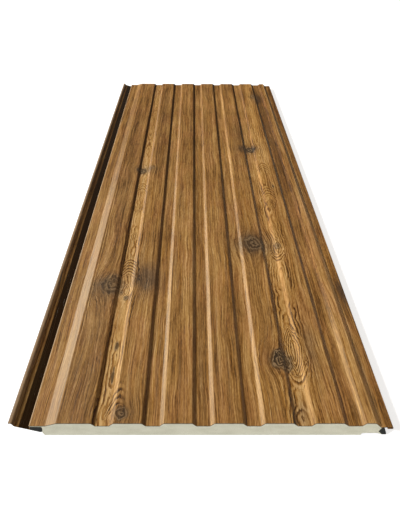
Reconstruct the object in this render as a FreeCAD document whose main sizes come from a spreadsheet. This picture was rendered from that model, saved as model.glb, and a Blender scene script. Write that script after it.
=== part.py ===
import FreeCAD, Part
import math
import os
import Sketcher

# Insulated siding panel with a profiled sheet face, a foam core, a foil back and two seals.
# The section lies in XZ and runs along Y. The foil back lies on Z = 0 and the ribs point up.
# In the sketches X counts from the tip of the fixing flange towards the tongue.

# name, millimetres, meaning
SIZES = (
    ("panel_length", 1500, "length along Y"),
    ("cover_width", 382, "lip of one panel to the lip of the next"),
    ("panel_thickness", 16, "foil back to the top of the ribs"),
    ("sheet_gauge", 0.5, "thickness of the face sheet"),
    ("groove_depth", 3.4, "top of the ribs to the floor of the grooves"),
    ("rib_pitch", 55, "groove to groove"),
    ("groove_floor", 15, "flat floor of a groove"),
    ("slope_run", 4.5, "width of a rib flank seen from above"),
    ("last_rib", 10.5, "flat top of the half rib beside the tongue"),
    ("tongue_run", 5.5, "width of the flank between the half rib and the tongue"),
    ("edge_flat", 17.5, "low flat beside the lip"),
    ("edge_run", 12, "wide flank between the low flat and the first rib"),
    ("bend_radius", 2.5, "inside radius of the rib bends"),
    ("lip_depth", 1.8, "height of the folded lip"),
    ("slot_reach", 14, "depth of the slot under the lip"),
    ("slot_fall", 3.9, "fall of the slot floor from its mouth to its end"),
    ("slot_radius", 1.6, "inside radius of the slot end"),
    ("joint_clearance", 0.2, "gap above and below the tongue in the slot"),
    ("end_clearance", 0.6, "gap between the tongue and the end of the slot"),
    ("tongue_depth", 2.4, "height of the hemmed tongue"),
    ("tongue_return", 6.2, "length of the lower leg of the hem"),
    ("flange_reach", 22, "fixing flange beyond the lip"),
    ("flange_tip", 3.5, "flat tip of the fixing flange"),
    ("flange_step", 3, "width of the step below the flange tip"),
    ("rebate_width", 20, "rebate in the back that takes the next flange"),
    ("rebate_depth", 2.7, "height of that rebate"),
    ("rebate_run", 1.5, "width of the slanted end of the rebate"),
    ("toe_reach", 1, "foam toe below the edge seal, beyond the cover width"),
    ("toe_bottom", 0.8, "height of the underside of the toe"),
    ("toe_depth", 0.9, "height of the blunt end of the toe"),
    ("toe_root", 3.5, "start of the toe, inside the cover width"),
    ("back_setback", 16.5, "lip to the near edge of the back"),
    ("foil_gauge", 0.2, "thickness of the foil back"),
    ("foam_lead", 1.5, "foam below the root of the tongue"),
    ("waist_level", 5, "height of the hollow in the foam edge"),
    ("waist_setback", 2.4, "hollow of the foam edge, inside the cover width"),
    ("seal_top", 2.2, "width of the top of the edge seal"),
    ("seal_foot", 5.2, "width of the foot of the edge seal"),
    ("seal_foot_depth", 2.2, "height of the upright end of that foot"),
    ("seal_setback", 1.5, "slot mouth to the slot seal"),
)


class Size:
    """A length together with the sheet formula that it follows."""

    def __init__(self, value, formula):
        self.value = value
        self.formula = formula

    def combine(self, other, sign, value):
        right = other.formula if isinstance(other, Size) else str(other)
        return Size(value, "(" + self.formula + " " + sign + " " + right + ")")

    def __add__(self, other):
        return self.combine(other, "+", self.value + plain(other))

    def __sub__(self, other):
        return self.combine(other, "-", self.value - plain(other))

    def __mul__(self, other):
        return self.combine(other, "*", self.value * plain(other))

    def __truediv__(self, other):
        return self.combine(other, "/", self.value / plain(other))


def plain(number):
    return number.value if isinstance(number, Size) else number


class Sheet:
    """The spreadsheet with the driving sizes, each readable as an attribute."""

    def __init__(self, document):
        table = document.addObject("Spreadsheet::Sheet", "sizes")
        for row, (name, value, meaning) in enumerate(SIZES, 1):
            table.set("A%d" % row, name)
            table.set("B%d" % row, str(value))
            table.set("C%d" % row, meaning)
            table.setAlias("B%d" % row, name)
        document.recompute()
        for name, value, meaning in SIZES:
            setattr(self, name, Size(float(table.get(name)), "sizes." + name))


ZERO = Size(0.0, "0")


class Section:
    """Levels and corner points of the cross-section, as (x, z, fold)."""

    def __init__(self, s):
        self.lip = s.flange_reach
        self.cover = s.flange_reach + s.cover_width
        self.top = s.panel_thickness
        self.low = self.top - s.groove_depth
        self.ceiling = self.low - s.lip_depth
        self.tongue_top = self.ceiling - s.joint_clearance
        self.tongue_bottom = self.tongue_top - s.tongue_depth
        self.mouth = self.tongue_bottom - s.joint_clearance
        self.slot_end = self.lip + s.slot_reach
        self.slot_floor = self.mouth - s.slot_fall
        self.tongue_tip = self.cover + s.slot_reach - s.end_clearance
        self.toe_tip = self.cover + s.toe_reach
        self.overall = self.tongue_tip
        step_base = s.flange_tip + s.flange_step
        rise = s.slot_fall * (s.flange_reach - step_base) / s.slot_reach
        self.step_base = (step_base, self.mouth + rise, "rib")
        self.step_top = (s.flange_tip, self.top, "rib")
        self.flange_end = (ZERO, self.top, None)

    def ribs(self, s):
        """Corners of the ribbed face from the tongue root to the low flat, right to left."""
        x = self.cover
        corners = [(x, self.tongue_top, "rib")]
        x = x - s.tongue_run
        corners.append((x, self.top, "rib"))
        x = x - s.last_rib
        corners.append((x, self.top, "rib"))
        first = self.lip + s.edge_flat + s.edge_run
        groove = s.groove_floor + s.slope_run * 2
        rib_flat = s.rib_pitch - groove
        ribs = int((plain(x) - plain(first) - plain(groove)) // plain(s.rib_pitch))
        for index in range(ribs + 1):
            right = x - s.rib_pitch * index if index else x
            corners.append((right - s.slope_run, self.low, "rib"))
            corners.append((right - s.slope_run - s.groove_floor, self.low, "rib"))
            corners.append((right - groove, self.top, "rib"))
            if index < ribs:
                corners.append((right - groove - rib_flat, self.top, "rib"))
        corners.append((first, self.top, "rib"))
        corners.append((self.lip + s.edge_flat, self.low, "rib"))
        return corners

    def lip_and_slot(self):
        """Corners of the lip and the slot below it, in the order of the sheet."""
        return [
            (self.lip, self.low, "lip"),
            (self.lip, self.ceiling, "lip"),
            (self.slot_end, self.ceiling, "slot"),
            (self.slot_end, self.slot_floor, "slot"),
        ]

    def face_line(self, s):
        """Printed side of the sheet from the hem of the tongue to the flange tip."""
        hem = [
            (self.tongue_tip - s.tongue_return, self.tongue_bottom, None),
            (self.tongue_tip, self.tongue_bottom, "hem"),
            (self.tongue_tip, self.tongue_top, "hem"),
        ]
        flange = [self.step_base, self.step_top, self.flange_end]
        return hem + self.ribs(s) + self.lip_and_slot() + flange

    def back_line(self, s):
        """Outer side of the foil from the left edge to the tip of the toe."""
        return [
            (self.lip + s.back_setback, ZERO, None),
            (self.cover - s.rebate_width - s.rebate_run, ZERO, None),
            (self.cover - s.rebate_width, s.rebate_depth, None),
            (self.cover - s.toe_root, s.rebate_depth, None),
            (self.toe_tip, s.toe_bottom, None),
        ]

    def foam_edge(self, s):
        """Right edge of the foam from the tip of the toe up to the tongue."""
        return [
            (self.toe_tip, s.toe_bottom + s.toe_depth, None),
            (self.cover - s.waist_setback, s.waist_level, None),
        ]


def turn(before, corner, after):
    """Positive where the line turns left at the corner."""
    ax = plain(corner[0]) - plain(before[0])
    az = plain(corner[1]) - plain(before[1])
    bx = plain(after[0]) - plain(corner[0])
    bz = plain(after[1]) - plain(corner[1])
    return ax * bz - az * bx


def offset_points(points, gauge):
    """The same line moved to its left by the gauge, with sharp corners."""
    normals = []
    for start, end in zip(points, points[1:]):
        dx = plain(end[0]) - plain(start[0])
        dz = plain(end[1]) - plain(start[1])
        size = math.hypot(dx, dz)
        normals.append((-dz / size, dx / size))
    moved = []
    for index, point in enumerate(points):
        first = normals[max(index - 1, 0)]
        second = normals[min(index, len(normals) - 1)]
        share = plain(gauge) / (1 + first[0] * second[0] + first[1] * second[1])
        x = plain(point[0]) + share * (first[0] + second[0])
        z = plain(point[1]) + share * (first[1] + second[1])
        moved.append((x, z))
    return moved


def new_sketch(body, name):
    sketch = body.newObject("Sketcher::SketchObject", name)
    plane = [item for item in body.Origin.OriginFeatures if item.Role == "XZ_Plane"][0]
    sketch.AttachmentSupport = [(plane, "")]
    sketch.MapMode = "FlatFace"
    return sketch


def add_lines(sketch, places):
    """A closed ring of lines through the places; returns the number of the first line."""
    lines = []
    for start, end in zip(places, places[1:] + places[:1]):
        first = FreeCAD.Vector(start[0], start[1], 0)
        last = FreeCAD.Vector(end[0], end[1], 0)
        lines.append(Part.LineSegment(first, last))
    sketch.addGeometry(lines, False)
    count = len(lines)
    joins = [Sketcher.Constraint("Coincident", i, 2, (i + 1) % count, 1) for i in range(count)]
    sketch.addConstraint(joins)


def bind(sketch, constraint, size):
    index = sketch.addConstraint(constraint)
    sketch.setExpression("Constraints[%d]" % index, size.formula)


def fix_corner(sketch, line, point):
    """Hold the start of a line at a corner point of the section."""
    for axis, kind, size in ((-2, "DistanceX", point[0]), (-1, "DistanceY", point[1])):
        if size is ZERO:
            sketch.addConstraint(Sketcher.Constraint("PointOnObject", line, 1, axis))
        else:
            bind(sketch, Sketcher.Constraint(kind, -1, 1, line, 1, size.value), size)


def polygon_sketch(body, name, points):
    sketch = new_sketch(body, name)
    add_lines(sketch, [(plain(point[0]), plain(point[1])) for point in points])
    for line, point in enumerate(points):
        fix_corner(sketch, line, point)
    return sketch


def band_sketch(body, name, points, gauge):
    """A strip of constant gauge on the left of the line through the points."""
    sketch = new_sketch(body, name)
    inner = offset_points(points, gauge)
    outer = [(plain(point[0]), plain(point[1])) for point in points]
    add_lines(sketch, outer + inner[::-1])
    count = len(points)
    for line, point in enumerate(points):
        fix_corner(sketch, line, point)
    for index in range(count):
        line = 2 * count - 1 - index
        for side in (index - 1, index):
            if 0 <= side < count - 1:
                gap = Sketcher.Constraint("Distance", line, 1, side, gauge.value)
                bind(sketch, gap, gauge)
    sketch.addConstraint(Sketcher.Constraint("Perpendicular", count - 2, count - 1))
    sketch.addConstraint(Sketcher.Constraint("Perpendicular", 0, 2 * count - 1))
    return sketch


def new_body(document, name, overall):
    body = document.addObject("PartDesign::Body", name)
    body.Label = name
    body.setExpression("Placement.Base.x", "-" + overall.formula + " / 2")
    return body


def add_pad(body, sketch, length):
    pad = body.newObject("PartDesign::Pad", sketch.Name + "_pad")
    pad.Profile = sketch
    pad.SideType = "Symmetric"
    pad.Length = length.value
    pad.setExpression("Length", length.formula)
    pad.Refine = False
    body.Tip = pad
    body.Document.recompute()
    return pad


def edge_names(shape, places):
    """Names of the edges along Y that pass through the places."""
    names = []
    for number, edge in enumerate(shape.Edges, 1):
        start = edge.Vertexes[0].Point
        end = edge.Vertexes[-1].Point
        if abs(start.y - end.y) < 1:
            continue
        for x, z in places:
            if math.hypot(start.x - x, start.z - z) < 0.001:
                names.append("Edge%d" % number)
    return names


def round_bends(body, base, name, places, radius):
    if not places:
        return base
    bend = body.newObject("PartDesign::Fillet", name)
    bend.Base = (base, edge_names(base.Shape, places))
    bend.Radius = radius.value
    bend.setExpression("Radius", radius.formula)
    bend.Refine = False
    body.Tip = bend
    body.Document.recompute()
    return bend


def fold_radii(s):
    """Inside and outside radius of each kind of fold."""
    lip = s.lip_depth * 0.45
    hem = s.tongue_depth * 0.45
    return {
        "rib": (s.bend_radius, s.bend_radius + s.sheet_gauge),
        "slot": (s.slot_radius, s.slot_radius + s.sheet_gauge),
        "lip": (lip - s.sheet_gauge, lip),
        "hem": (hem - s.sheet_gauge, hem),
    }


def bend_places(points, kind, left_turns, places):
    """Places of the corners of one kind that turn the given way."""
    chosen = []
    for index in range(1, len(points) - 1):
        left = turn(points[index - 1], points[index], points[index + 1]) > 0
        if points[index][2] == kind and left == left_turns:
            chosen.append(places[index])
    return chosen


def make_sheet(document, s, section):
    body = new_body(document, "face_sheet", section.overall)
    points = section.face_line(s)
    sketch = band_sketch(body, "sheet_profile", points, s.sheet_gauge)
    feature = add_pad(body, sketch, s.panel_length)
    printed = [(plain(point[0]), plain(point[1])) for point in points]
    back = offset_points(points, s.sheet_gauge)
    for kind, (inside, outside) in fold_radii(s).items():
        tight = bend_places(points, kind, False, printed) + bend_places(points, kind, True, back)
        wide = bend_places(points, kind, True, printed) + bend_places(points, kind, False, back)
        feature = round_bends(body, feature, kind + "_inside", tight, inside)
        feature = round_bends(body, feature, kind + "_outside", wide, outside)
    return body


def make_foil(document, s, section):
    body = new_body(document, "backing_foil", section.overall)
    sketch = band_sketch(body, "foil_profile", section.back_line(s), s.foil_gauge)
    add_pad(body, sketch, s.panel_length)
    return body


def make_foam(document, s, section, sheet, foil):
    """The filled section without the space of the sheet and the foil."""
    body = new_body(document, "foam_blank", section.overall)
    root = (section.cover + s.foam_lead, section.tongue_top, None)
    upper = [root] + section.ribs(s) + section.lip_and_slot()
    points = upper + section.back_line(s) + section.foam_edge(s)
    sketch = polygon_sketch(body, "foam_outline", points)
    feature = add_pad(body, sketch, s.panel_length)
    places = [(plain(point[0]), plain(point[1])) for point in upper]
    for kind, (inside, outside) in fold_radii(s).items():
        tight = bend_places(upper, kind, False, places)
        wide = bend_places(upper, kind, True, places)
        feature = round_bends(body, feature, "foam_" + kind + "_inside", tight, inside)
        feature = round_bends(body, feature, "foam_" + kind + "_outside", wide, outside)
    return cut_away(document, "foam_core", body, (sheet, foil))


def cut_away(document, name, base, tools):
    for number, tool in enumerate(tools, 1):
        cut = document.addObject("Part::Cut", name + "_cut_%d" % number)
        cut.Base = base
        cut.Tool = tool
        cut.Refine = False
        document.recompute()
        base = cut
    base.Label = name
    return base


def make_slot_seal(document, s, section):
    """Sponge strip that fills the slot behind its mouth."""
    body = new_body(document, "slot_seal", section.overall)
    front = section.lip + s.seal_setback
    front_floor = section.mouth - s.slot_fall * s.seal_setback / s.slot_reach
    points = [
        (front, section.ceiling, None),
        (front, front_floor, None),
        (section.slot_end, section.slot_floor, None),
        (section.slot_end, section.ceiling, None),
    ]
    sketch = polygon_sketch(body, "slot_seal_outline", points)
    feature = add_pad(body, sketch, s.panel_length)
    places = [(plain(point[0]), plain(point[1])) for point in points[2:]]
    round_bends(body, feature, "slot_seal_end", places, s.slot_radius)
    return body


def make_edge_seal(document, s, section):
    """Sponge strip between the tongue and the toe, glued to the foam edge."""
    body = new_body(document, "edge_seal", section.overall)
    top = section.tongue_top - s.sheet_gauge
    left = section.cover + s.foam_lead
    # the foam edge between its waist and the root of the tongue meets the sheet here
    share = s.sheet_gauge / (section.tongue_top - s.waist_level)
    left_top = left - (s.foam_lead + s.waist_setback) * share
    points = [
        (left_top, top, None),
        section.foam_edge(s)[1],
        section.foam_edge(s)[0],
        (section.toe_tip, s.toe_bottom, None),
        (section.toe_tip + s.seal_foot, s.toe_bottom, None),
        (section.toe_tip + s.seal_foot, s.toe_bottom + s.seal_foot_depth, None),
        (left + s.seal_top, top, None),
    ]
    sketch = polygon_sketch(body, "edge_seal_outline", points)
    add_pad(body, sketch, s.panel_length)
    return body


def check(document):
    for item in document.Objects:
        if "Invalid" in item.State or "Error" in item.State:
            raise RuntimeError("failed object: " + item.Name)


def main():
    document = FreeCAD.newDocument("siding_panel")
    s = Sheet(document)
    section = Section(s)
    sheet = make_sheet(document, s, section)
    foil = make_foil(document, s, section)
    foam = make_foam(document, s, section, sheet, foil)
    slot_seal = make_slot_seal(document, s, section)
    edge_seal = make_edge_seal(document, s, section)
    document.recompute()
    check(document)
    os.makedirs("parts", exist_ok=True)
    for item in (sheet, foam, foil, slot_seal, edge_seal):
        shape = item.Shape
        if shape.isNull() or not shape.isValid() or len(shape.Solids) != 1:
            raise RuntimeError("bad shape: " + item.Label)
        shape.exportStep("parts/" + item.Label + ".step")


main()
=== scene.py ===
import math

import bpy
from mathutils import Matrix, Vector


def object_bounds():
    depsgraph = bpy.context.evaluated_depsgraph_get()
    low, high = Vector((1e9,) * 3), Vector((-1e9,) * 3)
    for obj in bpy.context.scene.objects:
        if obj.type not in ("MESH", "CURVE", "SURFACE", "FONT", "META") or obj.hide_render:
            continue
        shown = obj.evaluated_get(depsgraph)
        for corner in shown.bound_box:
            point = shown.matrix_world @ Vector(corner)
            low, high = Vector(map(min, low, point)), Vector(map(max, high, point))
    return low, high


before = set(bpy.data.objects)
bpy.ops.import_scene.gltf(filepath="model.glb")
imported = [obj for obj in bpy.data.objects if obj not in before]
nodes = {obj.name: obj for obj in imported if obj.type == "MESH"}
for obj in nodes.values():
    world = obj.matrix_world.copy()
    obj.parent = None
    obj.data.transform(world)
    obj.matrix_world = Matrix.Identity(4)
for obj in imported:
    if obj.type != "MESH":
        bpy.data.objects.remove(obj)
CAD_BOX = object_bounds()

# Section of the panel in millimetres, as in the CAD model
COVER_WIDTH = 382.0
THICKNESS = 16.0
GROOVES = 6
GROOVE_FLOOR = 15.0
GROOVE_DEPTH = 3.4
RIB_PITCH = 55.0
SLOPE_RUN = 4.5
LAST_RIB = 10.5
TONGUE_RUN = 5.5
TONGUE_FALL = 5.4
EDGE_FLAT = 17.5
EDGE_RUN = 12.0
LIP_DEPTH = 1.8
SLOT_REACH = 14.0
FLANGE_REACH = 22.0
FLANGE_TIP = 3.5
FLANGE_STEP = 3.0

# Places in that section: x from the lip, z above the back
GROOVE_Z = THICKNESS - GROOVE_DEPTH
LIP_FOOT_Z = GROOVE_Z - LIP_DEPTH
FIRST_RIB = EDGE_FLAT + EDGE_RUN
GROOVE_WIDTH = GROOVE_FLOOR + 2 * SLOPE_RUN
TONGUE_ROOT = COVER_WIDTH - TONGUE_RUN
FIRST_GROOVE = TONGUE_ROOT - LAST_RIB - GROOVE_WIDTH - (GROOVES - 1) * RIB_PITCH
TIP_EDGE = FLANGE_TIP - FLANGE_REACH
TROUGH_EDGE = TIP_EDGE + FLANGE_STEP

# The lip and the front end in the frame, in metres
PER_METRE = 1000.0
LIP = CAD_BOX[0][0] + FLANGE_REACH / PER_METRE
FRONT = CAD_BOX[0][1]


def right_slope(groove):
    """x of the middle of the slope on the right of a groove; the groove by the lip is number 1."""
    return FIRST_GROOVE + (groove - 1) * RIB_PITCH + GROOVE_WIDTH - SLOPE_RUN / 2


# Stretches of the section over which a colour fades in, from none to full
FLANGE_X = (0.0, -0.3)
FLANGE_Z = (THICKNESS - 0.4, THICKNESS - 1.0)
# Painted shade in the flange's trough and on its step, and painted highlights on the flange's tip and
# along the lip's fold
TROUGH_SHADE_X = (TROUGH_EDGE + 3.1, TROUGH_EDGE + 5.3)
STEP_SHADE_X = (TROUGH_EDGE - 1.1, TROUGH_EDGE - 1.9)
TIP_X = (TIP_EDGE + 1.5, TIP_EDGE + 0.1)
TIP_Z = (THICKNESS - 1.6, THICKNESS - 0.8)
LIP_LEFT_X = (-0.2, 0.0)
LIP_RIGHT_X = (1.7, 1.0)
LIP_Z = (LIP_FOOT_Z + 0.2, LIP_FOOT_Z + 0.6)
# Painted shade inside the slot
SLOT_MOUTH_X = (0.2, 0.6)
SLOT_END_X = (SLOT_REACH + 1.0, SLOT_REACH + 0.6)
SLOT_Z = (LIP_FOOT_Z + 0.15, LIP_FOOT_Z - 0.1)
PRIMER_X = (SLOT_REACH + 0.4, SLOT_REACH)
FLANK_LEFT_X = (EDGE_FLAT - 1.0, EDGE_FLAT + 1.5)
FLANK_RIGHT_X = (FIRST_RIB + 1.0, FIRST_RIB - 1.0)

# Stretches of the length over which a look fades in, from none to full: y from the front end
LEFT_GOLD_Y = (1150.0, 650.0)
SOFT_FIGURE_Y = (350.0, 800.0)
DARKER_Y = (500.0, 1200.0)
PAINTED_SLOPE_HIGHLIGHT_Y = (900.0, 100.0)
PAINTED_FLANK_SHEEN_Y = (1100.0, 500.0)
SHADED_SLOPE_Y = (300.0, 900.0)
FLANGE_END_Y = (260.0, 40.0)

# The slope left without the painted highlight away from the front end: x of its middle, distance from
# there, and y from the front end
PLAIN_SLOPE = 364.0
PLAIN_SLOPE_X = (12.0, 2.0)
PLAIN_SLOPE_Y = (150.0, 400.0)

# How far a face looks to a side before it counts, from none to full: a part of its normal, squared
# for the two ends
LOOKS_LEFT = (-0.12, -0.25)
LOOKS_RIGHT = (0.15, 0.3)
LOOKS_DOWN = (-0.2, -0.4)
LOOKS_ALONG_SQUARED = (0.3, 0.5)

# Colours of the print from dark to light, in 0 to 255 as shown on a screen
WOOD = ((50, 28, 7), (98, 63, 24), (146, 104, 52), (180, 137, 79), (214, 174, 115))
RUDDY_WOOD = ((54, 27, 10), (103, 63, 27), (153, 103, 56), (187, 137, 84), (220, 174, 126))
GOLDEN_WOOD = ((58, 30, 6), (116, 72, 20), (168, 117, 48), (194, 148, 82), (218, 178, 118))
GREY_WOOD = ((32, 25, 18), (70, 51, 33), (104, 77, 50), (148, 117, 80), (196, 165, 121))
KNOT_PALE = (140, 114, 82)
KNOT_DARK = (56, 42, 27)
# Painted highlight for the slopes that look left
PAINTED_SLOPE_HIGHLIGHT = (202, 172, 126)
# Painted sheen for the wide flank
PAINTED_FLANK_SHEEN = (203, 178, 150)
# Painted shade for the slopes that look right
SHADED_SLOPE = (40, 18, 0)

# Colours of the rest
# Painted shade for the flange's trough and the slot, and painted highlights for the flange's tip and the
# lip's fold
PAINTED_FOLD_SHADE = (30, 14, 1)
PAINTED_TIP_HIGHLIGHT = (156, 136, 112)
PAINTED_LIP_HIGHLIGHT = (210, 182, 144)
PRIMER = (176, 172, 160)
CUT_STEEL = (44, 37, 24)
FOAM = ((182, 180, 158), (203, 201, 181), (218, 216, 198))
# A dark line below the sheet, partly adhesive and partly painted contact shade
ADHESIVE_AND_SHADE = (92, 84, 58)
FOIL = ((176, 177, 172), (201, 202, 197), (222, 223, 218))
SPONGE = ((16, 17, 16), (32, 34, 32), (64, 65, 62))

# Noises that lie still while the grain bends: waves per millimetre across and along the panel, seed,
# detail, roughness
PATCHES = {
    "sway": (0.016, 0.004, 1.3, 3.0, 0.5),
    "ripple": (0.09, 0.009, 4.7, 3.0, 0.5),
    "wobble": (0.11, 0.04, 6.1, 3.0, 0.6),
    "jitter": (0.26, 0.09, 8.3, 2.0, 0.5),
    "shown": (0.06, 0.012, 12.0, 2.0, 0.5),
    "along": (0.01, 0.006, 14.0, 2.0, 0.5),
    "cloud": (0.02, 0.006, 8.0, 3.0, 0.5),
    "flush": (0.05, 0.011, 21.0, 3.0, 0.5),
    "patchy": (0.06, 0.025, 3.3, 4.0, 0.5),
}

# Noises that bend with the grain, with the same columns
GRAIN = {
    "broad": (0.11, 0.0014, 2.0, 1.0, 0.5),
    "fibre": (0.42, 0.0042, 3.0, 2.0, 0.7),
    "thin": (1.0, 0.011, 9.0, 1.0, 0.7),
    "hair": (1.9, 0.05, 9.5, 2.0, 0.7),
    "fleck": (1.1, 0.15, 10.5, 1.0, 0.5),
    "band": (0.10, 0.0016, 5.0, 3.0, 0.6),
    "vein": (0.26, 0.0042, 6.0, 2.0, 0.5),
    "pore": (0.8, 0.014, 7.0, 2.0, 0.7),
    "hue": (0.3, 0.004, 17.0, 3.0, 0.65),
}

# How far the grain sways and ripples to the sides, in millimetres
SWAY = 16.0
RIPPLE = 2.2

# Knots of the printed wood: x from the lip, y from the front end, half width, half length,
# how strongly the grain bends round it, how dark it is, number of rings (lengths in millimetres)
KNOTS = (
    (286, 121, 13, 22, 0.75, 1.05, 3.0),
    (275, 447, 16, 26, 0.75, 0.75, 2.0),
    (313, 439, 5, 12, 0.4, 0.75, 0.9),
    (302, 922, 10, 15, 0.7, 1.0, 1.2),
    (338, 1362, 8, 20, 0.7, 0.75, 1.0),
    (61, 310, 16, 26, 0.75, 0.7, 2.4),
    (83, 276, 3.5, 6, 0.5, 1.0, 0.8),
    (75, 292, 3.0, 6, 0.5, 0.8, 0.7),
    (98, 17, 8, 12, 0.75, 0.75, 1.8),
    (81, 155, 2.4, 10, 0.3, 0.9, 0.5),
    (82, 92, 1.8, 16, 0.3, 0.8, 0.4),
    (74, 790, 10, 14, 0.7, 0.85, 1.2),
    (93, 805, 6, 10, 0.5, 0.6, 0.8),
    (330, 700, 2.4, 9, 0.3, 0.7, 0.5),
)

# Grey stains in the printed wood: x, y, half width, half length, strength
STAINS = (
    (274, 447, 28, 40, 1.45),
    (296, 925, 22, 26, 1.4),
    (50, 306, 24, 44, 1.2),
    (109, 328, 20, 44, 1.5),
    (100, 20, 15, 26, 0.5),
    (354, 1050, 8, 420, 0.5),
    (346, 1350, 14, 60, 1.2),
    (393, 300, 8, 42, 1.3),
    (278, 1040, 11, 90, 0.5),
    (77, 795, 26, 26, 0.9),
    (285, 122, 16, 28, 0.6),
    (48, 160, 17, 330, 0.42),
    (48, 700, 17, 420, 0.3),
    (105, 1180, 13, 330, 0.25),
    (190, 140, 9, 240, 0.15),
    (326, 150, 9, 50, 0.7),
    (299, 18, 8, 28, 0.8),
)

# Heart lines of the two cathedral figures: x at the front end, shift in x per millimetre of length,
# seed, half width of the golden band along it
LEFT_HEART = (80.0, 0.0, 2.1, 12.5)
RIGHT_HEART = (300.0, 0.022, 7.9, 16.0)

# How often a heart line rises and dips (waves per millimetre), how far it does so, the gap between
# its rings, and the distance over which the two figures run into each other
HEART_WAVE = 0.0058
HEART_DEPTH = 62.0
RING_GAP = 4.0
HEART_BLEND = 8.0

# Closed eyes of the figure: x, y, half width, half length, number of lines
OVALS = (
    (303, 146, 13, 58, 4.6),
    (312, 434, 9, 34, 2.6),
    (81, 298, 7, 22, 2.4),
    (79, 597, 7, 22, 3.0),
    (80, 480, 7, 20, 2.6),
    (308, 880, 9, 34, 3.4),
    (319, 612, 8, 26, 3.0),
)

# Arches of the figure: x, y of the tip, half width, gap between lines (negative with the tip
# to the front), number of lines
ARCHES = (
    (81, 402, 9, 9.5, 6.0),
    (310, 382, 9, -11, 3.0),
    (303, 66, 11, -14, 2.0),
    (317, 700, 11, 13, 4.0),
    (320, 840, 11, 14, 4.0),
    (80, 730, 9, 13, 4.0),
    (95, 70, 11, 13, 3.0),
)

# Spots where the figure fades: x, y, half width, half length
CALM = (
    (334, 490, 12, 70),
    (80, 245, 8, 34),
)

# Lengthwise bands of the print: x, half width, how much lighter
BANDS = (
    (9, 9, 0.05),
    # A faint painted sheen on the wide flank
    (23.5, 6, 0.02),
    (31.4, 0.8, -0.18),
    (33, 0.6, 0.16),
    (34.6, 0.6, -0.14),
    (79, 9, 0.18),
    # Painted shade on this left-facing slope, toning down its lit highlight
    (88.75, 3, -0.05),
    (289.25, 2.6, -0.08),
    (299, 8, 0.12),
    # Painted shade on this left-facing slope, toning down its lit highlight
    (308.75, 3, -0.11),
    (189, 8, -0.04),
    (344.25, 2.6, -0.16),
    (354, 8, -0.1),
    # Painted shade on this left-facing slope, toning down its lit highlight
    (363.5, 3.5, -0.16),
    (372, 4, 0.08),
    # The next two bands are painted light on the last flank, which faces away from the key lamp, and on
    # the tongue's root
    (376.8, 2.4, 0.2),
    (381, 4.5, 0.3),
    (390, 6, -0.12),
)

# Spots of lighter or darker wood: x, y, half width, half length, how much lighter
GLOWS = (
    (309, 455, 6, 24, 0.2),
    (321, 428, 6, 20, 0.14),
    (304, 274, 7, 40, -0.16),
    (304, 527, 7, 50, -0.12),
    (302, 122, 6, 24, 0.14),
    (319, 90, 5, 30, 0.14),
    (265, 268, 8, 60, 0.12),
    (81, 57, 7, 30, -0.1),
    (71, 293, 4, 20, 0.15),
    (82, 295, 10, 40, 0.16),
    (81, 192, 7, 26, -0.12),
    (134, 1080, 9, 380, 0.07),
    (189, 1080, 9, 380, 0.07),
    (244, 1080, 9, 380, 0.09),
    (46, 1080, 18, 380, -0.06),
    (78, 1250, 9, 330, -0.06),
    (91, 1080, 5, 380, -0.1),
    (106, 1080, 13, 380, -0.04),
    (301, 1120, 11, 330, -0.13),
    # The next two spots are a painted highlight along the last left-facing slope near the front end
    (364, 130, 4.5, 190, 0.08),
    (359.5, 120, 3.2, 170, 0.16),
    (374, 1080, 5, 400, 0.06),
    (373, 850, 9, 170, -0.16),
    (388, 1080, 8, 400, -0.12),
)

# Slopes with a duller finish: x, how much rougher; and how far it reaches to each side
MATT = (
    (right_slope(1), 0.14),
    (right_slope(5), 0.3),
    (right_slope(GROOVES), 0.42),
    (TONGUE_ROOT, 0.3),
)
MATT_REACH = 3.4

# Noises all through the other materials: waves per millimetre in x, y and z, detail, roughness
FOAM_FINE = (1.6, 1.6, 1.6, 3.0, 0.65)
FOAM_BROAD = (0.05, 0.05, 0.16, 2.0, 0.5)
FOIL_FINE = (0.5, 0.5, 1.0, 4.0, 0.6)
SPONGE_FINE = (1.8, 1.8, 1.8, 3.0, 0.7)
SPONGE_BROAD = (0.2, 0.08, 0.2, 2.0, 0.5)

# Creases of the foil, with the columns of the patches; cells of the foam per millimetre; depth below
# the sheet's face over which the dark line of adhesive and painted contact shade fades in
FOIL_CREASE = (0.05, 0.012, 3.0, 4.0, 0.6)
FOAM_CELLS = 1.3
ADHESIVE_AND_SHADE_DEPTH = (1.1, 0.6)

# Height of the fine relief of each material, in metres
WOOD_RELIEF = 0.00022
FOAM_RELIEF = 0.0004
FOIL_RELIEF = 0.0006
SPONGE_RELIEF = 0.0006


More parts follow.
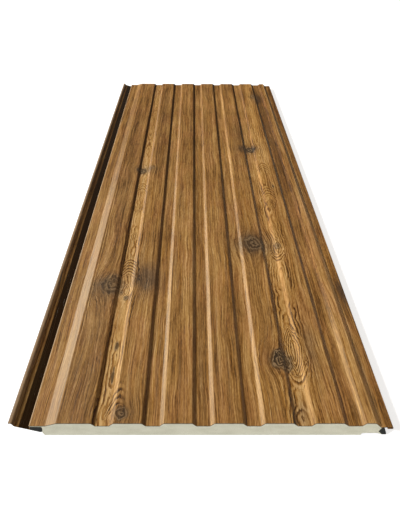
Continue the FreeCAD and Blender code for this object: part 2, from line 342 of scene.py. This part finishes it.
class Field:
    """A number that varies over a surface. Arithmetic on it adds nodes to its tree."""

    def __init__(self, tree, socket):
        self.tree = tree
        self.socket = socket

    def op(self, name, *others):
        node = self.tree.nodes.new("ShaderNodeMath")
        node.operation = name
        for value, entry in zip((self,) + others, node.inputs):
            feed(self.tree, value, entry)
        return Field(self.tree, node.outputs[0])

    def __add__(self, other):
        return self.op("ADD", other)

    def __sub__(self, other):
        return self.op("SUBTRACT", other)

    def __mul__(self, other):
        return self.op("MULTIPLY", other)

    def __truediv__(self, other):
        return self.op("DIVIDE", other)

    def clip(self):
        return self.op("MINIMUM", 1.0).op("MAXIMUM", 0.0)

    def swing(self, size):
        """A noise about one half turned into a change to both sides."""
        return (self - 0.5) * size

    def less(self, share):
        """1 where the field is 0, and less by the share where it is 1."""
        return self * -share + 1.0

    def ridge(self, half):
        """1 where the field is 0, falling away on both sides."""
        part = self / half
        return (part * part * -1.0).op("EXPONENT")

    def plateau(self, half):
        """A ridge with a flatter top and steeper sides."""
        part = self / half
        square = part * part
        return (square * square * -1.0).op("EXPONENT")

    def lines(self, low, high):
        """Dark lines, one for each whole number of the field."""
        part = self.op("FRACT")
        return part.step(low, high) * part.step(1.0, 0.94)

    def step(self, none, full):
        """0 up to none, 1 from full on and smooth between; either may be the larger one."""
        node = self.tree.nodes.new("ShaderNodeMapRange")
        node.interpolation_type = "SMOOTHSTEP"
        feed(self.tree, self, node.inputs["Value"])
        ends = (none, full, 0.0, 1.0) if none < full else (full, none, 1.0, 0.0)
        for name, value in zip(("From Min", "From Max", "To Min", "To Max"), ends):
            node.inputs[name].default_value = value
        return Field(self.tree, node.outputs["Result"])


def feed(tree, value, entry):
    if isinstance(value, Field):
        tree.links.new(value.socket, entry)
    else:
        entry.default_value = value


def fold(operation, fields):
    """All the fields joined by one operation."""
    total = fields[0]
    for field in fields[1:]:
        total = total.op(operation, field)
    return total


def linear(r, g, b):
    """Linear light of a colour written in 0 to 255 as shown on a screen."""
    parts = []
    for level in (r, g, b):
        c = level / 255
        parts.append(c / 12.92 if c <= 0.04045 else ((c + 0.055) / 1.055) ** 2.4)
    return (parts[0], parts[1], parts[2], 1.0)


class Surface:
    """A node material with the panel's own coordinates in millimetres."""

    def __init__(self, name):
        self.material = bpy.data.materials.new(name)
        self.material.use_nodes = True
        self.tree = self.material.node_tree
        self.shader = self.tree.nodes["Principled BSDF"]
        place = self.tree.nodes.new("ShaderNodeTexCoord").outputs["Object"]
        x, y, z = self.parts(place)
        self.x = (x - LIP) * PER_METRE
        self.y = (y - FRONT) * PER_METRE
        self.z = z * PER_METRE

    def parts(self, vector):
        node = self.tree.nodes.new("ShaderNodeSeparateXYZ")
        self.tree.links.new(vector, node.inputs[0])
        return [Field(self.tree, out) for out in node.outputs]

    def normal(self):
        return self.parts(self.tree.nodes.new("ShaderNodeNewGeometry").outputs["True Normal"])

    def vector(self, x, y, z):
        node = self.tree.nodes.new("ShaderNodeCombineXYZ")
        for value, entry in zip((x, y, z), node.inputs):
            feed(self.tree, value, entry)
        return node.outputs[0]

    def noise(self, x, y, z, detail, roughness):
        node = self.tree.nodes.new("ShaderNodeTexNoise")
        self.tree.links.new(self.vector(x, y, z), node.inputs["Vector"])
        node.inputs["Scale"].default_value = 1.0
        node.inputs["Detail"].default_value = detail
        node.inputs["Roughness"].default_value = roughness
        return Field(self.tree, node.outputs[0])

    def flat_noise(self, across, along, seed, detail, roughness):
        return self.noise(self.x * across, self.y * along, seed, detail, roughness)

    def solid_noise(self, across, along, up, detail, roughness):
        return self.noise(self.x * across, self.y * along, self.z * up, detail, roughness)

    def bell(self, place_x, place_y, wide, tall):
        """1 in the middle of an ellipse and falling away from it."""
        dx = (self.x - place_x) / wide
        dy = (self.y - place_y) / tall
        return ((dx * dx + dy * dy) * -1.0).op("EXPONENT")

    def ramp(self, value, colours):
        """The colours in even steps, the first where the value is 0 and the last where it is 1."""
        node = self.tree.nodes.new("ShaderNodeValToRGB")
        elements = node.color_ramp.elements
        while len(elements) < len(colours):
            elements.new(0.5)
        for index, colour in enumerate(colours):
            elements[index].position = index / (len(colours) - 1)
            elements[index].color = linear(*colour)
        feed(self.tree, value, node.inputs[0])
        return node.outputs[0]

    def mix(self, share, first, second):
        """first where share is 0 and second where it is 1; each a socket or a colour."""
        node = self.tree.nodes.new("ShaderNodeMix")
        node.data_type = "RGBA"
        feed(self.tree, share, node.inputs["Factor"])
        for value, entry in ((first, node.inputs[6]), (second, node.inputs[7])):
            if isinstance(value, tuple):
                entry.default_value = linear(*value)
            else:
                self.tree.links.new(value, entry)
        return node.outputs[2]

    def finish(self, colour, roughness, height, relief):
        self.tree.links.new(colour, self.shader.inputs["Base Color"])
        feed(self.tree, roughness, self.shader.inputs["Roughness"])
        bump = self.tree.nodes.new("ShaderNodeBump")
        bump.inputs["Strength"].default_value = 1.0
        bump.inputs["Distance"].default_value = relief
        feed(self.tree, height, bump.inputs["Height"])
        self.tree.links.new(bump.outputs[0], self.shader.inputs["Normal"])
        return self.material


class WoodPrintWithPaintedLight(Surface):
    """The printed sheet: the wood on its face, painted shade in the flange's trough and the slot, painted
    highlights on the flange's tip and the lip's fold, its primed back and its cut ends.
    """

    def __init__(self):
        super().__init__("wood_print")
        self.wobble = self.patch("wobble") - 0.5
        self.jitter = self.patch("jitter") - 0.5
        self.bend_grain()
        self.draw_figure()
        self.lay_tone()

    def patch(self, name):
        return self.flat_noise(*PATCHES[name])

    def grain(self, name):
        across, along, seed, detail, roughness = GRAIN[name]
        return self.noise(self.across * across, self.y * along, seed, detail, roughness)

    def bend_grain(self):
        """The grain sways, and knots with rings of their own push it aside."""
        self.across = self.x + self.patch("sway").swing(SWAY) + self.patch("ripple").swing(RIPPLE)
        hearts = []
        rings = []
        for place_x, place_y, wide, tall, bend, dark, count in KNOTS:
            aside = self.x - place_x
            dx = aside / wide + self.wobble * 1.1
            dy = (self.y - place_y) / tall + self.jitter * 1.1
            near = dx * dx + dy * dy
            self.across = self.across - aside * ((near * -0.3).op("EXPONENT") * bend)
            out = near.op("SQRT")
            hearts.append(out.step(1.35, 0.75) * dark)
            rings.append(out * count)
        self.knots = fold("MAXIMUM", hearts)
        self.knot_rings = fold("MINIMUM", rings)
        self.stain = fold("MAXIMUM", [self.bell(*spot) * strength for *spot, strength in STAINS])

    def heart(self, centre, lean, seed, gold):
        """Distance to a heart line that rises and dips under the surface, and the golden band along it."""
        aside = self.across - (self.y * lean + centre)
        level = self.noise(self.y * HEART_WAVE, seed, 0.0, detail=3.0, roughness=0.5)
        deep = level.swing(HEART_DEPTH)
        return (aside * aside + deep * deep).op("SQRT"), aside.ridge(gold)

    def draw_figure(self):
        """Two cathedral figures, with eyes and arches drawn over their lines."""
        left, left_gold = self.heart(*LEFT_HEART)
        right, right_gold = self.heart(*RIGHT_HEART)
        phase = left.op("SMOOTH_MIN", right, HEART_BLEND) / RING_GAP + self.wobble * 1.2
        shown = self.patch("shown").step(0.36, 0.6)
        for place_x, place_y, wide, tall, count in OVALS:
            dx = ((self.x - place_x) / wide + self.wobble * 0.35).op("ABSOLUTE")
            dy = (self.y - place_y) / tall + self.wobble * 0.25
            out = dx + dy * dy
            inside = out.step(1.08, 1.0)
            phase = phase + (out * count - phase) * inside
            shown = shown.op("MAXIMUM", inside)
        for place_x, place_y, wide, gap, count in ARCHES:
            dx = (self.x - place_x) / wide + self.wobble * 0.5
            fall = (self.y * -1.0 + place_y) / gap - dx * dx * 1.5 + self.wobble * 0.8
            inside = fall.step(-0.3, 0.0) * fall.step(count, count - 0.4) * (dx * dx).step(1.7, 1.0)
            phase = phase + (fall - phase) * inside
            shown = shown.op("MAXIMUM", inside)

        left_gold = left_gold * (self.y.step(*LEFT_GOLD_Y) * 0.6 + 0.4)
        along = self.patch("along") * 0.7 + 0.62
        self.golden = left_gold.op("MAXIMUM", right_gold) * along.clip()
        self.hair = self.grain("hair")
        late = (phase + self.jitter * 0.5 + self.hair.swing(0.4)).lines(0.3, 0.75)
        late = late * (shown * 0.8 + 0.2) * self.golden.step(0.05, 0.45)
        calm = fold("MAXIMUM", [self.bell(*spot) for spot in CALM])
        self.late = late * calm.less(0.8) * self.y.step(*SOFT_FIGURE_Y).less(0.36)

    def lay_tone(self):
        """Fibres, pores, bands and spots give the tone, from 0 for the darkest wood to 1."""
        self.fibre = self.grain("fibre")
        self.pore_line = self.grain("pore").step(0.42, 0.32)
        vein_line = (self.grain("vein") - 0.5).op("ABSOLUTE").step(0.045, 0.0)
        coarse = self.grain("broad").swing(0.5) + self.fibre.swing(0.76) + self.grain("band").swing(0.4)
        tone = (
            self.golden.less(0.35) * coarse
            + self.grain("thin").swing(0.72)
            + self.hair.swing(0.7)
            + self.grain("fleck").swing(0.4)
            + self.patch("cloud").swing(0.25)
            + self.golden * 0.2
            - self.late * 0.54
            - vein_line * 0.14
            - self.pore_line * 0.20
            - self.stain * 0.08
            - self.y.step(*DARKER_Y) * 0.05
            + 0.57
        )
        for place, half, lighter in BANDS:
            tone = tone + (self.x - place).plateau(half) * lighter
        for *spot, lighter in GLOWS:
            tone = tone + self.bell(*spot) * lighter
        self.tone = tone

    def wood(self, looks_across):
        """Colour of the wood by its tone, with a painted highlight on slopes that look left, a painted
        sheen on the wide flank and painted shade on slopes that look right towards the rear end.
        """
        flush = self.patch("flush").step(0.44, 0.62)
        colour = self.mix(flush * 0.5, self.ramp(self.tone, WOOD), self.ramp(self.tone, RUDDY_WOOD))
        hue = self.grain("hue")
        warmth = (self.golden * 0.6).op("MAXIMUM", hue.step(0.52, 0.66) * 0.6)
        colour = self.mix(warmth, colour, self.ramp(self.tone, GOLDEN_WOOD))
        patchy = self.patch("patchy")
        dull = (self.stain * (patchy * 1.6 + 0.1)).op("MAXIMUM", hue.step(0.46, 0.34) * 0.4)
        colour = self.mix(dull.clip(), colour, self.ramp(self.tone, GREY_WOOD))

        # Painted highlight on slopes that look left: strongest at the front end, weaker in the golden
        # bands, and left off the slope at x 364 away from the front end
        slope_highlight = looks_across.step(*LOOKS_LEFT) * (self.y.step(*PAINTED_SLOPE_HIGHLIGHT_Y) * 0.15 + 0.07)
        slope_highlight = slope_highlight * self.golden.less(0.55) * (self.fibre * 1.2 + 0.4)
        plain = (self.x - PLAIN_SLOPE).op("ABSOLUTE").step(*PLAIN_SLOPE_X) * self.y.step(*PLAIN_SLOPE_Y)
        colour = self.mix(slope_highlight * plain.less(1.0), colour, PAINTED_SLOPE_HIGHLIGHT)
        # Painted sheen on the wide flank, stronger towards the front end
        flank = self.x.step(*FLANK_LEFT_X) * self.x.step(*FLANK_RIGHT_X) * (self.fibre + 0.5)
        flank = flank * (self.y.step(*PAINTED_FLANK_SHEEN_Y) * 0.15 + 0.02)
        colour = self.mix(flank, colour, PAINTED_FLANK_SHEEN)
        # Painted shade on slopes that look right, from the middle of the length to the rear end
        shaded = looks_across.step(*LOOKS_RIGHT) * self.y.step(*SHADED_SLOPE_Y)
        colour = self.mix(shaded * 0.6, colour, SHADED_SLOPE)

        ring = (self.knot_rings + self.jitter * 0.6 + self.wobble * 0.6 + 0.62).lines(0.12, 0.45)
        knot = self.mix(ring, KNOT_PALE, KNOT_DARK)
        return self.mix((self.knots * (patchy + 0.4)).clip(), colour, knot)

    def trough(self):
        """Painted shade along the flange left of the lip: darkest in the trough by the lip and weaker on
        the step; the flange is also darker near the front end.
        """
        beside = self.z.step(*FLANGE_Z) * self.x.step(*FLANGE_X)
        dark = self.x.step(*TROUGH_SHADE_X) * 0.97 + self.x.step(*STEP_SHADE_X) * 0.4
        return beside * dark.op("MAXIMUM", self.y.step(*FLANGE_END_Y) * 0.4)

    def build(self):
        x, z = self.x, self.z
        looks_across, looks_along, looks_up = self.normal()
        # Painted shade along the flange
        trough = self.trough()
        # Painted shade inside the slot under the lip
        slot = x.step(*SLOT_MOUTH_X) * x.step(*SLOT_END_X) * z.step(*SLOT_Z)
        # Painted highlight on the flange's tip
        tip = x.step(*TIP_X) * z.step(*TIP_Z)
        # Painted highlight along the lip's fold
        lip = x.step(*LIP_RIGHT_X) * x.step(*LIP_LEFT_X) * z.step(*LIP_Z)
        primed = looks_up.step(*LOOKS_DOWN) * x.step(*PRIMER_X) * slot.less(1.0)
        cut = (looks_along * looks_along).step(*LOOKS_ALONG_SQUARED)
        colour = self.mix(trough.op("MAXIMUM", slot * 0.9), self.wood(looks_across), PAINTED_FOLD_SHADE)
        colour = self.mix(tip * 0.55, colour, PAINTED_TIP_HIGHLIGHT)
        colour = self.mix(lip * 0.5, colour, PAINTED_LIP_HIGHLIGHT)
        colour = self.mix(primed, colour, PRIMER)
        colour = self.mix(cut, colour, CUT_STEEL)

        matt = fold("MAXIMUM", [(x - place).ridge(MATT_REACH) * rougher for place, rougher in MATT])
        roughness = self.fibre.swing(0.3) + matt - trough * 0.22 + 0.46
        height = self.fibre * 0.8 + self.hair * 0.3 - self.late * 0.3 - self.pore_line * 0.3
        self.shader.inputs["Specular IOR Level"].default_value = 0.35
        return self.finish(colour, roughness, height, WOOD_RELIEF)


def sheet_height(x):
    """Height of the sheet's face over the foam, in millimetres above the back."""
    along = (x - FIRST_GROOVE).op("MODULO", RIB_PITCH)
    groove = (along / SLOPE_RUN).clip() * ((along * -1.0 + GROOVE_WIDTH) / SLOPE_RUN).clip()
    ribs = groove * -GROOVE_DEPTH + THICKNESS
    flank = ((x - EDGE_FLAT) / EDGE_RUN).clip() * GROOVE_DEPTH + GROOVE_Z
    tongue = ((x - TONGUE_ROOT) / TONGUE_RUN).clip() * -TONGUE_FALL + THICKNESS
    return fold("MINIMUM", (ribs, flank, tongue))


def foam():
    """Pale foam with fine cells, and a dark line below the ribbed sheet, partly adhesive and partly
    painted contact shade.
    """
    s = Surface("foam")
    fine = s.solid_noise(*FOAM_FINE)
    broad = s.solid_noise(*FOAM_BROAD)
    cells = s.tree.nodes.new("ShaderNodeTexVoronoi")
    cells.inputs["Scale"].default_value = FOAM_CELLS
    s.tree.links.new(s.vector(s.x, s.y, s.z), cells.inputs["Vector"])
    pore = Field(s.tree, cells.outputs["Distance"])
    tone = fine.swing(0.7) + broad.swing(0.9) + (pore - 0.4) * 0.25 + 0.5
    below = sheet_height(s.x) - s.z
    # Adhesive and painted contact shade just below the sheet's face
    colour = s.mix(below.step(*ADHESIVE_AND_SHADE_DEPTH) * 0.7, s.ramp(tone, FOAM), ADHESIVE_AND_SHADE)
    return s.finish(colour, fine.swing(0.1) + 0.9, pore * 0.6 + fine * 0.4, FOAM_RELIEF)


def foil():
    """Dull foil with long creases."""
    s = Surface("foil")
    fine = s.solid_noise(*FOIL_FINE)
    crease = s.flat_noise(*FOIL_CREASE)
    tone = fine.swing(0.4) + crease.swing(0.6) + 0.5
    s.shader.inputs["Metallic"].default_value = 0.55
    return s.finish(s.ramp(tone, FOIL), fine.swing(0.3) + 0.45, crease + fine * 0.2, FOIL_RELIEF)


def sponge():
    """Black sponge with fine pores."""
    s = Surface("sponge")
    fine = s.solid_noise(*SPONGE_FINE)
    broad = s.solid_noise(*SPONGE_BROAD)
    tone = fine.swing(0.9) + broad.swing(0.5) + 0.5
    return s.finish(s.ramp(tone, SPONGE), fine.swing(0.2) + 0.85, fine, SPONGE_RELIEF)


def dress(name, material):
    piece = nodes[name]
    piece.data.materials.clear()
    piece.data.materials.append(material)


sponge_material = sponge()
dress("face_sheet", WoodPrintWithPaintedLight().build())
dress("foam_core", foam())
dress("backing_foil", foil())
dress("slot_seal", sponge_material)
dress("edge_seal", sponge_material)

# The floor in metres: its size and its gap below the panel. Its grey takes the shadow, and its glow,
# which only the camera sees, makes it white
FLOOR_SIZE = 60
FLOOR_GAP = 0.0002
FLOOR_GREY = (0.5, 0.5, 0.5, 1)
FLOOR_GLOW = 0.76

# The world is white to the camera and a weak warm fill for everything else
WHITE = (1, 1, 1, 1)
FILL_TINT = (1.0, 0.86, 0.68, 1)
FILL_LEVEL = 0.09
FILL_IN_GLOSS = 0.07


def make_floor():
    bpy.ops.mesh.primitive_plane_add(size=FLOOR_SIZE, location=(0, 0, -FLOOR_GAP))
    floor = bpy.context.object
    floor.name = "floor"
    material = bpy.data.materials.new("floor")
    material.use_nodes = True
    tree = material.node_tree
    shader = tree.nodes["Principled BSDF"]
    shader.inputs["Base Color"].default_value = FLOOR_GREY
    shader.inputs["Roughness"].default_value = 0.9
    shader.inputs["Specular IOR Level"].default_value = 0.1
    shader.inputs["Emission Color"].default_value = WHITE
    path = tree.nodes.new("ShaderNodeLightPath")
    seen = Field(tree, path.outputs["Is Camera Ray"])
    feed(tree, seen * FLOOR_GLOW, shader.inputs["Emission Strength"])
    floor.data.materials.append(material)


def make_world():
    world = bpy.data.worlds.new("studio")
    bpy.context.scene.world = world
    world.use_nodes = True
    tree = world.node_tree
    back = tree.nodes["Background"]
    path = tree.nodes.new("ShaderNodeLightPath")
    tint = tree.nodes.new("ShaderNodeMix")
    tint.data_type = "RGBA"
    tint.inputs[6].default_value = FILL_TINT
    tint.inputs[7].default_value = WHITE
    tree.links.new(path.outputs["Is Camera Ray"], tint.inputs["Factor"])
    tree.links.new(tint.outputs[2], back.inputs["Color"])
    fill = tree.nodes.new("ShaderNodeMapRange")
    fill.inputs["To Min"].default_value = FILL_LEVEL
    fill.inputs["To Max"].default_value = FILL_IN_GLOSS
    tree.links.new(path.outputs["Is Glossy Ray"], fill.inputs["Value"])
    level = tree.nodes.new("ShaderNodeMapRange")
    level.inputs["To Max"].default_value = 1.0
    tree.links.new(fill.outputs[0], level.inputs["To Min"])
    tree.links.new(path.outputs["Is Camera Ray"], level.inputs["Value"])
    tree.links.new(level.outputs[0], back.inputs["Strength"])


def add_lamp(name, kind, place, target, energy):
    data = bpy.data.lights.new(name, kind)
    data.energy = energy
    lamp = bpy.data.objects.new(name, data)
    lamp.location = place
    lamp.rotation_euler = (Vector(target) - lamp.location).to_track_quat("-Z", "Y").to_euler()
    lamp.visible_camera = False
    bpy.context.collection.objects.link(lamp)
    return lamp


def add_panel(name, place, target, energy, size, colour):
    """A rectangular lamp of the given width and height."""
    lamp = add_lamp(name, "AREA", place, target, energy)
    lamp.data.shape = "RECTANGLE"
    lamp.data.size, lamp.data.size_y = size
    lamp.data.color = colour
    return lamp


def make_lights():
    key = add_lamp("left_key", "SUN", place=(-2.6, -1.5, 1.85), target=(0, 0, 0), energy=4.8)
    key.data.angle = math.radians(10)
    add_panel(
        "back_sheen",
        place=(-1.7, 1.7, 0.55),
        target=(0, -0.5, 0),
        energy=19,
        size=(1.3, 0.8),
        colour=(1.0, 0.89, 0.7),
    )
    add_panel(
        "flank_sheen",
        place=(-1.34, 1.67, 1.05),
        target=(-0.16, -0.4, 0),
        energy=5.0,
        size=(0.7, 0.4),
        colour=(1.0, 0.97, 0.92),
    )
    add_panel(
        "right_fill",
        place=(0.36, 0, 0.07),
        target=(0.19, 0, 0.01),
        energy=0.48,
        size=(1.9, 0.06),
        colour=(1.0, 0.8, 0.56),
    )
    flange = add_panel(
        "flange_fill",
        place=(-0.19, 0, 0.07),
        target=(-0.2015, 0, 0.012),
        energy=0.014,
        size=(1.6, 0.01),
        colour=(1.0, 0.92, 0.78),
    )
    flange.data.spread = math.radians(40)
    flange.visible_glossy = False


def make_camera():
    """A camera looking down along the panel from beyond its front end, aimed for a 400 by 520 frame, whose
    size is not set here.
    """
    data = bpy.data.cameras.new("camera")
    camera = bpy.data.objects.new("camera", data)
    bpy.context.collection.objects.link(camera)
    data.sensor_fit = "AUTO"
    data.sensor_width = 36
    data.lens = 51.735
    data.clip_start = 0.02
    data.clip_end = 200
    place = (-0.00893, -1.38851, 0.53959)
    pitch = math.radians(27.018)
    yaw = math.radians(0.572)
    roll = math.radians(0.350)
    turn = Matrix.Rotation(-yaw, 3, "Z") @ Matrix.Rotation(math.pi / 2 - pitch, 3, "X")
    turn = turn @ Matrix.Rotation(roll, 3, "Z")
    camera.matrix_world = Matrix.Translation(place) @ turn.to_4x4()
    bpy.context.scene.camera = camera


make_floor()
make_world()
make_lights()
make_camera()
bpy.context.scene.view_settings.view_transform = "Standard"
